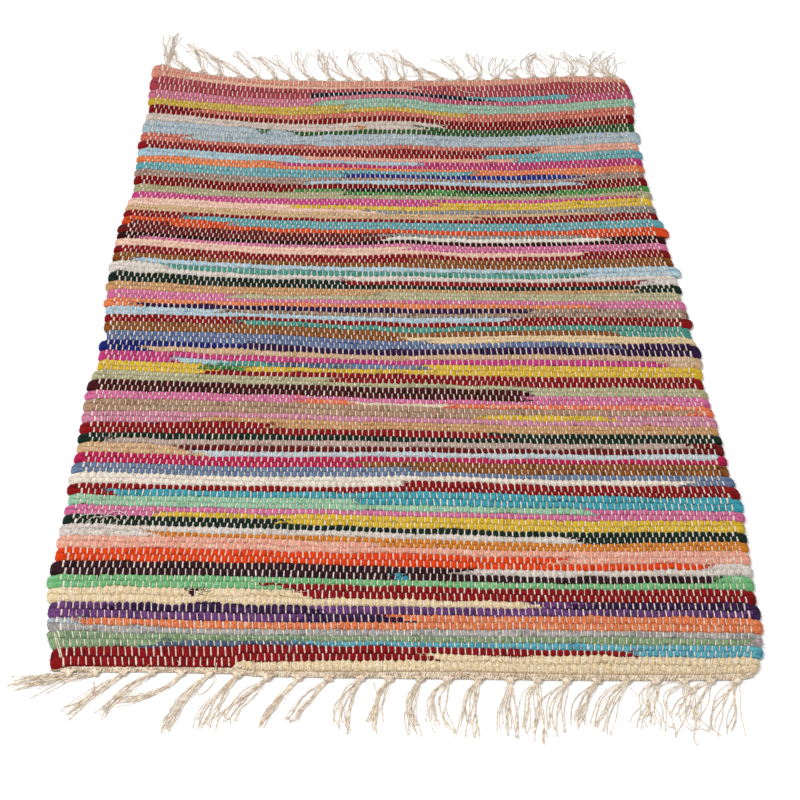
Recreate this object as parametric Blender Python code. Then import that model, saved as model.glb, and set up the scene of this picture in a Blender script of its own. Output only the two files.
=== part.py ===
"""Rag rug: a plain-woven cotton cloth of rag strips, with a knotted fringe at each end.

The rug lies flat.  Its frame is metres with +Z up, +X across the rug and +Y along it.
The origin is on the underside, at the middle of the cloth.

Three solids make it, as a weaver would finish it:
  woven_cloth   the cloth, one rib for each weft pick, with its uneven selvedge loops
  fringe_near   the twined heading at the -Y end, its knots and its loose warp ends
  fringe_far    the same at the +Y end
"""

import bisect
import math

import bmesh
import bpy
from mathutils import Vector

MM = 0.001

# ---------------------------------------------------------------- driving dimensions
PICKS = 125                 # rows of weft, counted from the near end
RIB_TOP = 7.0 * MM          # height of a weft rib over the floor
RIB_VALLEY = 5.2 * MM       # height of the cloth between two ribs
SELVEDGE_TOP = 4.4 * MM     # the cloth is lower where the weft turns back
END_TOP = 4.6 * MM          # and along its two ends
LOOP_SWELL = 1.6 * MM       # how far a weft loop stands out of the selvedge
SEAM_GAP = 0.3 * MM         # between the cloth and each heading

HEADING_WIDTH = 5.0 * MM    # twined heading, across
HEADING_TOP = 4.4 * MM      # and its height
HEADING_SHOULDER = 2.6 * MM
HEADING_END = 290 * MM      # each heading stops this far from the middle

KNOT_RADIUS = 5.0 * MM
KNOT_CROWN = 3.0 * MM       # radius of the knot's flat top
KNOT_TOP = 5.2 * MM
KNOT_SIDES = 8
KNOT_SEAT = 2.2 * MM        # the knot's centre lies this far outside the heading

STRANDS_PER_KNOT = 5
STRAND_ROOT_PITCH = 1.9 * MM
STRAND_TIP_PITCH = 2.9 * MM
STRAND_SEGMENTS = 3
STRAND_WIDTHS = (1.2 * MM, 1.5 * MM, 1.7 * MM, 1.2 * MM)   # at each end of a segment
STRAND_HEIGHT = 0.85        # of a strand's own width
BEND_LEAN = 0.2             # a tassel bends over at these shares of its lean
BEND_REACH = 0.45           # and of its reach

# Where the cloth's ends run: the outer edge of each heading, in millimetres.
END_COLUMNS = ("x", "near_y", "far_y")
END_LINES = (
    (-300, -459.0, 455.0),
    (-250, -459.0, 444.5),
    (-190, -460.0, 431.5),
    (-140, -464.0, 432.0),
    (0, -465.0, 436.5),
    (100, -464.5, 444.0),
    (190, -464.0, 458.5),
    (250, -463.5, 460.5),
    (300, -457.0, 451.0),
)

# The picks bow and wedge.  Each row gives one pick's height along the rug, in
# millimetres, at five stations across it.
STATIONS = (-300, -147, 0, 148, 300)
PICK_COLUMNS = ("pick", "left", "left_mid", "middle", "right_mid", "right")
PICK_LINES = (
    (4, -438, -434, -435, -436, -433),
    (12, -373, -372, -374, -375, -373),
    (20, -314, -316, -319, -321, -316),
    (28, -264, -265, -263, -264, -263),
    (36, -211, -214, -211, -211, -207),
    (44, -155, -154, -157, -158, -155),
    (52, -98, -103, -103, -103, -100),
    (60, -39, -40, -47, -39, -38),
    (68, 11, 8, 11, 14, 20),
    (76, 73, 64, 64, 66, 78),
    (84, 123, 113, 115, 119, 132),
    (92, 171, 165, 165, 171, 187),
    (100, 226, 215, 221, 222, 241),
    (106, 265, 259, 257, 263, 280),
    (112, 315, 305, 313, 314, 333),
    (116, 354, 338, 351, 345, 370),
    (120, 385, 371, 389, 381, 404),
    (125, 445, 418, 425, 435, 443),
)

# The selvedges wander in and out: (height along the rug, distance from its middle line).
LEFT_SELVEDGE = ((-465, 303), (-433, 307), (-390, 312), (-351, 314), (-244, 312), (-143, 310),
                 (-71, 304), (6, 306), (293, 300), (334, 301), (429, 299), (458, 292))
RIGHT_SELVEDGE = ((-465, 301), (-440, 306), (-407, 309), (-333, 313), (-260, 316), (-189, 312),
                  (-97, 307), (-44, 310), (19, 307), (180, 298), (344, 293), (429, 299), (458, 296))

# Each tassel: where its knot sits across the rug, where its tips lie from there, and how far
# they reach away from the heading, all in millimetres.
TASSEL_COLUMNS = ("knot_x", "lean", "reach")
NEAR_TASSELS = (
    (-282, -41, 20), (-261, -37, 32), (-239, -37, 42), (-215, -36, 43), (-191, -36, 42),
    (-168, -29, 53), (-144, -25, 51), (-119, -31, 49), (-93, -28, 46), (-68, -28, 42),
    (-41, -11, 51), (-17, -14, 48), (9, -5, 52), (32, -13, 51), (58, -9, 54), (85, -8, 55),
    (108, -12, 58), (133, -20, 58), (159, -22, 47), (184, -28, 45), (209, -15, 52),
    (233, -16, 62), (257, -13, 42), (279, -17, 49),
)
FAR_TASSELS = (
    (-279, -4, 74), (-256, -11, 48), (-235, -17, 70), (-212, -20, 62), (-188, -18, 47),
    (-167, -30, 60), (-145, -29, 53), (-123, -32, 52), (-99, -19, 69), (-75, -20, 68),
    (-53, -21, 62), (-31, -21, 71), (-7, -21, 62), (14, -22, 66), (37, -15, 51), (62, -18, 36),
    (87, -23, 50), (110, -13, 59), (133, 7, 52), (157, 0, 33), (180, 2, 60), (204, -6, 56),
    (229, -10, 55), (250, -12, 49), (269, -5, 60), (286, 4, 46),
)

CLOTH_COLOUR = (0.42, 0.22, 0.17, 1.0)
COTTON_COLOUR = (0.66, 0.55, 0.42, 1.0)


# ---------------------------------------------------------------- the rug's own curves
def along(table, x, column=1):
    """Value of one column of a table, read between its rows."""
    keys = [row[0] for row in table]
    if x <= keys[0]:
        return table[0][column]
    if x >= keys[-1]:
        return table[-1][column]
    upper = bisect.bisect_right(keys, x)
    low, high = table[upper - 1], table[upper]
    share = (x - low[0]) / (high[0] - low[0])
    return low[column] + share * (high[column] - low[column])


def end_y(side, x):
    """Outer edge of the heading on one side (-1 near, +1 far), metres."""
    column = END_COLUMNS.index("near_y" if side < 0 else "far_y")
    return along(END_LINES, x / MM, column) * MM


def cloth_end_y(side, x):
    """Where the cloth itself ends, one gap inside the heading."""
    return end_y(side, x) - side * (HEADING_WIDTH + SEAM_GAP)


def pick_y(pick, x):
    """Height along the rug of a pick, whole or between two, at x metres across it."""
    place = x / MM
    cell = min(max(bisect.bisect_right(STATIONS, place) - 1, 0), len(STATIONS) - 2)
    share = (place - STATIONS[cell]) / (STATIONS[cell + 1] - STATIONS[cell])
    share = min(max(share, 0.0), 1.0)

    def crossing(row):
        return row[cell + 1] + share * (row[cell + 2] - row[cell + 1])

    rows = [(0.5, cloth_end_y(-1, x) / MM)]
    rows += [(row[0], crossing(row)) for row in PICK_LINES]
    rows += [(PICKS + 0.5, cloth_end_y(1, x) / MM)]
    return along(rows, pick) * MM


def selvedge_x(side, pick):
    """Selvedge at a pick, with the loop in which the weft turns back every second pick."""
    table = LEFT_SELVEDGE if side < 0 else RIGHT_SELVEDGE
    height = pick_y(pick, side * STATIONS[-1] * MM) / MM
    turn = 0.5 if side < 0 else 1.5
    swell = abs(math.cos(math.pi / 2 * (pick - turn))) - 0.5
    return side * (along(table, height) * MM + LOOP_SWELL * swell)


# ---------------------------------------------------------------- making solids
def new_object(name, mesh, collection, material=None):
    """Object for a finished mesh, placed in its collection."""
    piece = bpy.data.objects.new(name, mesh)
    collection.objects.link(piece)
    if material is not None:
        mesh.materials.append(material)
    return piece


def principled(name, colour, roughness):
    """Plain cotton finish."""
    material = bpy.data.materials.new(name)
    material.use_nodes = True
    shader = material.node_tree.nodes["Principled BSDF"]
    shader.inputs["Base Color"].default_value = colour
    shader.inputs["Roughness"].default_value = roughness
    shader.inputs["Metallic"].default_value = 0.0
    material.diffuse_color = colour
    return material


def slab(name, columns, rows, place):
    """Closed solid on the floor: a grid whose points place() sets, walled down to z = 0.

    place(column, row) gives a point of the top.  The underside is flat, a ladder whose
    rungs join the two long edges.
    """
    bm = bmesh.new()
    bmesh.ops.create_grid(bm, x_segments=columns, y_segments=rows, size=0.5)
    grid = {}
    for vert in bm.verts:
        column = round((vert.co.x + 0.5) * columns)
        row = round((vert.co.y + 0.5) * rows)
        grid[column, row] = vert
    for (column, row), vert in grid.items():
        vert.co = place(column, row)

    rim = [edge for edge in bm.edges if edge.is_boundary]
    walls = bmesh.ops.extrude_edge_only(bm, edges=rim)["geom"]
    feet = [item for item in walls if isinstance(item, bmesh.types.BMVert)]
    foot = {(vert.co.x, vert.co.y): vert for vert in feet}
    if rows >= columns:
        rungs = [((0, row), (columns, row)) for row in range(1, rows)]
    else:
        rungs = [((column, 0), (column, rows)) for column in range(1, columns)]
    for vert in feet:
        vert.co.z = 0.0
    floor_rim = [item for item in walls
                 if isinstance(item, bmesh.types.BMEdge) and item.is_boundary]
    bmesh.ops.contextual_create(bm, geom=floor_rim)
    for rung in rungs:
        bmesh.ops.connect_verts(bm, verts=[foot[grid[end].co.x, grid[end].co.y]
                                           for end in rung])

    bmesh.ops.recalc_face_normals(bm, faces=bm.faces)
    mesh = bpy.data.meshes.new(name)
    bm.to_mesh(mesh)
    bm.free()
    return mesh


# ---------------------------------------------------------------- the woven cloth
def woven_cloth(collection):
    """The cloth: a rib for each pick, valleys between, and loops down both selvedges."""
    inner = [row[0] * MM for row in END_LINES[1:-1]]
    columns = len(inner) + 1
    rows = 2 * PICKS

    def place(column, row):
        pick = 0.5 + row / 2
        on_rib = row % 2 == 1
        if column in (0, columns):
            x = selvedge_x(-1 if column == 0 else 1, pick)
            top = SELVEDGE_TOP - (0.0 if on_rib else 0.8 * MM)
        else:
            x = inner[column - 1]
            top = RIB_TOP if on_rib else RIB_VALLEY
        if row in (0, rows):
            top = min(top, END_TOP)
        return Vector((x, pick_y(pick, x), top))

    mesh = slab("woven_cloth", columns, rows, place)
    return new_object("woven_cloth", mesh, collection,
                      principled("rag_weave", CLOTH_COLOUR, 0.95))


# ---------------------------------------------------------------- the fringes
def heading_mesh(name, side):
    """Twined heading along one end: a low rounded band, a gap away from the cloth."""
    stops = [-HEADING_END] + [row[0] * MM for row in END_LINES[1:-1]] + [HEADING_END]
    profile = ((0.0, HEADING_SHOULDER), (0.25, HEADING_TOP),
               (0.75, HEADING_TOP), (1.0, HEADING_SHOULDER))

    def place(column, row):
        share, top = profile[row if side > 0 else len(profile) - 1 - row]
        x = stops[column]
        return Vector((x, end_y(side, x) - side * HEADING_WIDTH * (1.0 - share), top))

    return slab(name, len(stops) - 1, len(profile) - 1, place)


def knots_mesh(name, side, tassels):
    """The row of overhand knots along a heading, each a low faceted lump."""
    bm = bmesh.new()
    for knot_x, _, _ in tassels:
        x = knot_x * MM
        made = bmesh.ops.create_cone(bm, cap_ends=True, segments=KNOT_SIDES, depth=KNOT_TOP,
                                     radius1=KNOT_RADIUS, radius2=KNOT_CROWN)
        centre = Vector((x, end_y(side, x) + side * KNOT_SEAT, KNOT_TOP / 2))
        bmesh.ops.translate(bm, verts=made["verts"], vec=centre)
    mesh = bpy.data.meshes.new(name)
    bm.to_mesh(mesh)
    bm.free()
    return mesh


def strand_route(side, tassel, place):
    """Points of one strand on the floor, from inside its knot to its tip.

    place counts the strand across the tassel, 0 in the middle.  The tassel leaves its
    knot almost square to the heading and then leans over, as a quadratic curve, and its
    strands run beside that curve, opening toward their tips.
    """
    knot_x, lean, reach = (value * MM for value in tassel)
    start = Vector((knot_x, end_y(side, knot_x) + side * KNOT_SEAT, 0.0))
    tip = start + Vector((lean, side * reach, 0.0))
    bend = start + Vector((lean * BEND_LEAN, side * reach * BEND_REACH, 0.0))
    points = []
    for step in range(STRAND_SEGMENTS + 1):
        share = step / STRAND_SEGMENTS
        spine = start * (1 - share) ** 2 + bend * 2 * share * (1 - share) + tip * share ** 2
        forward = ((bend - start) * (1 - share) + (tip - bend) * share).normalized()
        across = Vector((forward.y, -forward.x, 0.0)) * side
        pitch = STRAND_ROOT_PITCH + share * (STRAND_TIP_PITCH - STRAND_ROOT_PITCH)
        points.append(spine + across * place * pitch)
    return points


def add_strand(bm, points):
    """Three-sided strand with its flat side on the floor, lofted along its points."""
    rings = []
    for index, point in enumerate(points):
        before = points[max(index - 1, 0)]
        after = points[min(index + 1, len(points) - 1)]
        forward = (after - before).normalized()
        half = Vector((-forward.y, forward.x, 0.0)) * STRAND_WIDTHS[index] / 2
        ridge = Vector((0.0, 0.0, STRAND_WIDTHS[index] * STRAND_HEIGHT))
        rings.append([bm.verts.new(place) for place in (point - half, point + half,
                                                        point + ridge)])
    faces = [bm.faces.new(rings[0]), bm.faces.new(rings[-1])]
    for near, far in zip(rings, rings[1:]):
        for side in range(3):
            after = (side + 1) % 3
            faces.append(bm.faces.new((near[side], near[after], far[after], far[side])))
    bmesh.ops.recalc_face_normals(bm, faces=faces)


def strands_mesh(name, side, tassels):
    """All loose warp ends of one fringe, apart from each other."""
    bm = bmesh.new()
    middle = (STRANDS_PER_KNOT - 1) / 2
    for tassel in tassels:
        for strand in range(STRANDS_PER_KNOT):
            add_strand(bm, strand_route(side, tassel, strand - middle))
    mesh = bpy.data.meshes.new(name)
    bm.to_mesh(mesh)
    bm.free()
    return mesh


def join(piece, other, name):
    """Fuse another closed mesh into a piece."""
    other.hide_render = True
    other.display_type = "WIRE"
    union = piece.modifiers.new(name, "BOOLEAN")
    union.operation = "UNION"
    union.solver = "EXACT"
    union.object = other


def fringe(name, side, tassels, collection, helpers, material):
    """Heading with its knots, and the strands fused to them at their roots."""
    piece = new_object(name, heading_mesh(name, side), collection, material)
    knots = new_object(name + "_knots", knots_mesh(name + "_knots", side, tassels), helpers)
    strands = new_object(name + "_strands", strands_mesh(name + "_strands", side, tassels),
                         helpers)
    join(piece, knots, "knots")
    join(piece, strands, "strands")
    return piece


# ---------------------------------------------------------------- the whole rug
def main():
    for old in list(bpy.data.objects):
        bpy.data.objects.remove(old, do_unlink=True)
    rug = bpy.data.collections.new("rag_rug")
    helpers = bpy.data.collections.new("rag_rug_joined_pieces")
    bpy.context.scene.collection.children.link(rug)
    bpy.context.scene.collection.children.link(helpers)
    cotton = principled("warp_cotton", COTTON_COLOUR, 0.9)
    woven_cloth(rug)
    fringe("fringe_near", -1, NEAR_TASSELS, rug, helpers, cotton)
    fringe("fringe_far", 1, FAR_TASSELS, rug, helpers, cotton)


main()
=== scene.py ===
"""Rag rug: the finished look of the cloth, its twined headings and its knotted fringe.

The rug lies flat, +Y away from the camera, with the origin under the middle of the cloth.
The cloth is worked out in weave coordinates, as a weaver counts it: w counts rag floats
across a pick, v counts picks from the near end.  lay() puts such a point on the rug.
"""

import math

import bpy
import numpy as np
from mathutils import Matrix, Vector


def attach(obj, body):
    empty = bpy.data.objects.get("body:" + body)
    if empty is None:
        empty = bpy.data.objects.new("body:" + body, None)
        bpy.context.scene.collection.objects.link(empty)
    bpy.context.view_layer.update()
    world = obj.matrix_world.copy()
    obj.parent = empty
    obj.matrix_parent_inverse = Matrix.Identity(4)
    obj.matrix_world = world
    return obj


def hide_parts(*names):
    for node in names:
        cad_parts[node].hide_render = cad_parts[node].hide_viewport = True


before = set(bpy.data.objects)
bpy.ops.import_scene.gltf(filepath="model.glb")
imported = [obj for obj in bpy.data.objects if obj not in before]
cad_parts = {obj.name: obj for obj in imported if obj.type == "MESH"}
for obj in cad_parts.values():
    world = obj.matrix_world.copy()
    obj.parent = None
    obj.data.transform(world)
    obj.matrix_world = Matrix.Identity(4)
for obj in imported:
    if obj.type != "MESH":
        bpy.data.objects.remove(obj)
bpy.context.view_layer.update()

MM = 0.001

# ------------------------------------------------------------------ the weave, by its counts
PICKS = 125
FLOATS = 98                 # floats of rag in a pick, between the selvedge loops
LOOP = 1.5                  # a selvedge loop's width, in floats
BAND_PICKS = 25             # picks in one piece of the cloth
COLUMNS_PER_FLOAT = 4
ROW_STEPS = (-0.5, -0.36, 0.0, 0.36)   # where a pick's grid lines lie, from its middle
FACE, RIM, UNDERSIDE = 1.0, 0.5, 0.0   # how a band's grid tells its parts before it is laid

REACH = 320.0               # half the width along which the rags are followed, millimetres
PUSH_STEP = 10              # millimetres between the places where their bulk is worked out
BULK_TELLS = (0.1, 0.2, 0.4, 0.2, 0.1)   # how much of it tells on the places beside it

MIDDLE = 2.6                # heights, in millimetres
HOLLOW = 3.0
CREST = 7.3
UNDER_HOLLOW = 1.4
FIBRE_START = 7.1

# How uneven the weave is, in floats across it and in picks along it.
WARP_DRIFT = 0.12
FLOAT_SQUARE = 0.06         # floats are squarer than a wave
FLOAT_SHAKE = 0.03
RIM_WAVE = 0.13             # a pick's rim bends round the warps
RIM_DRIFT = 0.13
RIM_SHAKE = 0.07
PICK_DRIFT = 0.06

# The selvedges and the ends of the cloth, in millimetres.
WARPS_AVERAGED = (-24, -12, 0, 12, 24)   # the warps follow the mean of a selvedge at these steps
OUTER_SHARE = 1 / 12        # the share of the cloth whose warps follow its bumps
LOOP_BULGE = 1.2
LOOP_UNEVEN = 0.7
LOOP_WAIST = 3.0            # how far the crease between two loops lies back
MISSING_TO = -140.0         # x up to which the first pick is missing
END_GAP = 0.3
LEAST_ROW = 0.5

# A dash of warp over a rag: its size in floats and picks, its heights in millimetres.
DASH_LENGTH = 0.8
DASH_TIPS = 1.42            # how much further its two tips reach
DASH_WIDTH = 0.115
DASH_THICK = 0.75
DASH_TIPS_SINK = -1.1
DASH_TOP = 6.1
DASH_TOP_AT_ENDS = 3.6
DASH_POINTS = 10            # points in its mesh

# Along each end, in millimetres: the outer edge of the heading, and where the cloth meets it.
END_LINES = np.array((
    # x, near heading, near cloth, far cloth, far heading
    (-300, -464, -462.5, 456, 462),
    (-290, -463, -461.5, 456, 462),
    (-282, -461.5, -459.5, 451, 457),
    (-254, -461.5, -459.5, 441, 448),
    (-213, -460.5, -459, 431, 438),
    (-150, -461.5, -459, 427, 433),
    (-127, -464, -462, 427, 433),
    (-58, -464.5, -462, 429, 436),
    (48, -464.5, -460.5, 435, 442),
    (133, -464.5, -462, 442, 448),
    (197, -464, -461.5, 451, 457),
    (240, -463.5, -461, 456, 462),
    (282, -462, -459.5, 454, 461),
    (300, -458.5, -457, 452, 458),
))

# Where the picks lie along the rug, in millimetres, at five stations across it.
STATIONS = np.array((-300, -147, 0, 148, 300))
PICK_LINES = np.array((
    # pick, left, left_mid, middle, right_mid, right
    (0.5, -463, -462, -462, -463, -461),
    (1.5, -452, -453, -451, -453, -452),
    (2.5, -445, -445, -444, -444, -443),
    (3.5, -438, -436, -436, -438, -437),
    (4.5, -431, -432, -431, -431, -431),
    (12, -373, -372, -374, -375, -373),
    (20, -314, -316, -319, -321, -316),
    (28, -264, -265, -263, -264, -263),
    (36, -211, -214, -211, -211, -207),
    (44, -155, -154, -157, -158, -155),
    (52, -98, -103, -103, -103, -100),
    (60, -39, -40, -47, -39, -38),
    (68, 11, 8, 11, 14, 20),
    (76, 73, 64, 64, 66, 78),
    (84, 123, 113, 115, 119, 132),
    (92, 171, 165, 165, 171, 187),
    (100, 226, 215, 221, 222, 241),
    (106, 265, 259, 257, 263, 280),
    (112, 315, 305, 313, 314, 333),
    (116, 354, 338, 351, 345, 370),
    (120, 385, 371, 389, 381, 404),
    (122, 407, 391, 406, 399, 422),
    (124, 435, 410, 416, 424, 440),
    (125.5, 450, 425, 430, 440, 451),
))

# Where the rows rise or sink between the stations.
SWELLS = (
    # pick, x, rise in millimetres, reach in picks, reach in millimetres
    (114, -80, -4.5, 4.5, 60),
    (118, 75, -6, 6, 52),
    (82, 10, 4, 5, 35),
    (30, 45, 2, 3, 45),
)

# The selvedges: height along the rug and distance from its middle line, in millimetres.
LEFT_SELVEDGE = np.array((
    (-467, 294), (-458, 299), (-446, 300), (-432, 302), (-422, 308), (-390, 310.5), (-351, 312.5),
    (-315, 311), (-286, 309.5), (-244, 310.5), (-211, 308), (-143, 309), (-71, 304), (6, 306.5),
    (130, 304), (165, 300), (195, 297), (235, 297), (293, 298), (350, 296), (420, 296), (458, 293),
))
RIGHT_SELVEDGE = np.array((
    (-465, 295.0), (-423, 307.5), (-407, 309.6), (-368, 310.6), (-333, 313.3), (-304, 314.0),
    (-260, 317.0), (-228, 312.1), (-189, 312.0), (-133, 309.2), (-97, 306.9), (-44, 310), (-28, 304),
    (-10, 307), (19, 307), (150, 299.0), (344, 293.8), (429, 299.6), (458, 294.0),
))

# Loops that stand out from their selvedge (+) or lie back in it (-).
LOOPS_OUT = (
    # side, pick it turns from, millimetres
    (1, 63, 4), (1, 69, -5), (1, 73, -3), (1, 75, 6), (1, 85, 6.5), (1, 87, 3), (1, 107, 4), (1, 111, 5),
    (-1, 2, -2), (-1, 6, -3), (-1, 8, -1.5), (-1, 12, 2), (-1, 16, -1.5), (-1, 26, -2), (-1, 44, 1),
    (-1, 48, 1.5), (-1, 52, -4.5), (-1, 54, -2), (-1, 56, -1),
    (-1, 58, -7), (-1, 60, -2.5), (-1, 62, -3.5), (-1, 64, -3), (-1, 94, -2), (-1, 102, 2), (-1, 116, -4),
    (-1, 124, 2),
)

# The rags in the order they were woven, pick 1 from left to right, pick 2 back again.
# Each ends in its pick at that x, and lies beside the next one for the length of its tail, in
# millimetres.  A tail of 0 is no torn end: the rag goes on, thicker or thinner or past a selvedge.
RAGS = (
    # cloth, last pick, x where it ends, tail
    ("pale_yellow", 2, 18, 20),
    ("dark_red", 3, 189, 16),
    ("teal", 4, -92, 30),
    ("steel", 4, -202, 60),
    ("sage", 5, 296, 10),
    ("dusky", 5, 320, 0),
    ("pale_grey_cord", 6, -320, 0),
    ("grey_blue", 7, -285, 20),
    ("salmon_orange", 8, -11, 44),
    ("dark_violet", 8, -90, 14),
    ("violet", 9, -257, 20),
    ("dark_violet", 9, -80, 20),
    ("violet", 9, 300, 20),
    ("dark_violet", 10, 150, 30),
    ("violet", 10, 112, 20),
    ("pale_yellow", 11, -192, 8),
    ("plum", 11, -183, 4),
    ("pale_yellow", 11, -96, 30),
    ("dark_red", 12, -120, 50),
    ("spring_green", 14, 281, 20),
    ("plum", 14, 0, 6),
    ("teal_mid", 14, -9, 6),
    ("plum", 15, 54, 40),
    ("pale_grey", 16, 275, 20),
    ("orange", 17, 140, 30),
    ("peach", 19, -28, 20),
    ("amber", 20, -229, 20),
    ("pale_grey", 21, 150, 30),
    ("dark_green", 23, -114, 12),
    ("mustard", 24, -225, 14),
    ("pink", 26, 172, 20),
    ("mint", 27, -46, 14),
    ("teal_mid", 28, -271, 16),
    ("dark_red", 29, 10, 0),
    ("dark_red_thin", 29, 318, 0),
    ("dark_red_full", 30, 3, 16),
    ("cream", 31, 272, 24),
    ("slate_blue", 33, 3, 24),
    ("brown", 34, -43, 20),
    ("raspberry", 36, 306, 10),
    ("pale_blue", 36, -195, 30),
    ("tan", 37, -217, 20),
    ("maroon", 38, 279, 20),
    ("taupe_grey", 38, -277, 20),
    ("dark_green", 40, 90, 40),
    ("dark_red_full", 40, -20, 0),
    ("dark_red", 41, -126, 16),
    ("camel", 42, -198, 20),
    ("dusty_pink", 44, 206, 26),
    ("mustard", 44, 79, 24),
    ("taupe", 45, 287, 20),
    ("salmon_print", 46, 50, 20),
    ("thin_cream", 46, -48, 16),
    ("salmon_print", 46, -98, 30),
    ("pink", 48, 124, 20),
    ("oxblood", 49, 125, 20),
    ("khaki", 51, -69, 16),
    ("dark_red", 52, -188, 40),
    ("mustard", 53, -200, 10),
    ("kelly", 53, -160, 12),
    ("mustard", 54, 25, 16),
    ("slate_blue", 54, -50, 14),
    ("steel", 54, -130, 20),
    ("sea_green", 54, -178, 20),
    ("light_blue", 54, -225, 16),
    ("magenta", 55, 268, 20),
    ("beige", 56, -258, 20),
    ("navy", 57, -158, 16),
    ("dark_purple", 58, 221, 26),
    ("denim", 59, 26, 20),
    ("cream_yellow", 60, 4, 16),
    ("brown", 61, 225, 20),
    ("sea_green", 62, -164, 16),
    ("dark_red", 64, 122, 36),
    ("pale_sky", 65, -186, 16),
    ("taupe_print", 66, 142, 16),
    ("dark_purple", 66, -271, 16),
    ("coral", 67, 201, 16),
    ("pink", 69, -175, 22),
    ("khaki", 70, -22, 16),
    ("camel", 71, 255, 16),
    ("dark_green", 73, -60, 16),
    ("dark_red", 73, 265, 20),
    ("pale_grey", 75, -250, 26),
    ("sea_green", 75, 204, 20),
    ("pale_sky", 76, -280, 20),
    ("brown", 78, 15, 14),
    ("dark_red", 80, 208, 20),
    ("pale_peach", 81, 13, 16),
    ("pink", 82, -277, 14),
    ("dark_maroon", 84, 234, 18),
    ("cream_white", 84, -7, 24),
    ("brick", 85, -10, 60),
    ("grey", 85, 200, 44),
    ("orange_red", 86, -250, 12),
    ("brick", 86, -290, 12),
    ("orange_red", 87, -182, 16),
    ("teal_far", 88, -229, 24),
    ("dark_red", 90, 93, 14),
    ("tan", 91, 229, 16),
    ("grey", 92, -29, 40),
    ("pale_peach", 93, -122, 16),
    ("mustard", 94, 45, 16),
    ("magenta_pink", 95, 273, 14),
    ("sage_far", 97, -57, 14),
    ("kelly", 98, 187, 10),
    ("dark_green", 98, 76, 10),
    ("kelly", 98, 36, 10),
    ("dark_green", 98, -58, 10),
    ("kelly", 98, -106, 50),
    ("dark_red_far", 100, 213, 22),
    ("pale_sky", 100, -100, 16),
    ("taupe_far", 102, 215, 40),
    ("royal", 102, -55, 14),
    ("teal_far", 103, 93, 14),
    ("orange_far", 105, -136, 20),
    ("magenta_far", 106, 31, 14),
    ("light_blue", 107, -110, 14),
    ("pale_salmon", 107, 143, 16),
    ("teal_far", 108, 109, 12),
    ("dark_red", 109, 170, 12),
    ("pale_salmon", 110, 182, 16),
    ("coral_far", 111, -244, 16),
    ("fleece_blue", 113, -162, 6),
    ("green_far", 113, -150, 6),
    ("fleece_blue", 113, -123, 30),
    ("green_far", 114, 30, 34),
    ("beige_far", 114, -32, 8),
    ("amber", 114, -42, 6),
    ("beige_far", 115, 57, 14),
    ("dark_red_far", 117, -236, 22),
    ("coral_far", 118, 92, 14),
    ("mustard_far", 119, -58, 14),
    ("mint_far", 120, -91, 20),
    ("rose", 121, 47, 14),
    ("raspberry_pink", 122, 223, 12),
    ("teal_far", 122, 104, 60),
    ("ink", 122, -97, 14),
    ("wine", 124, 29, 14),
    ("thin_peach", 124, -254, 20),
    ("salmon_far", 125, 320, 0),
)

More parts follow.
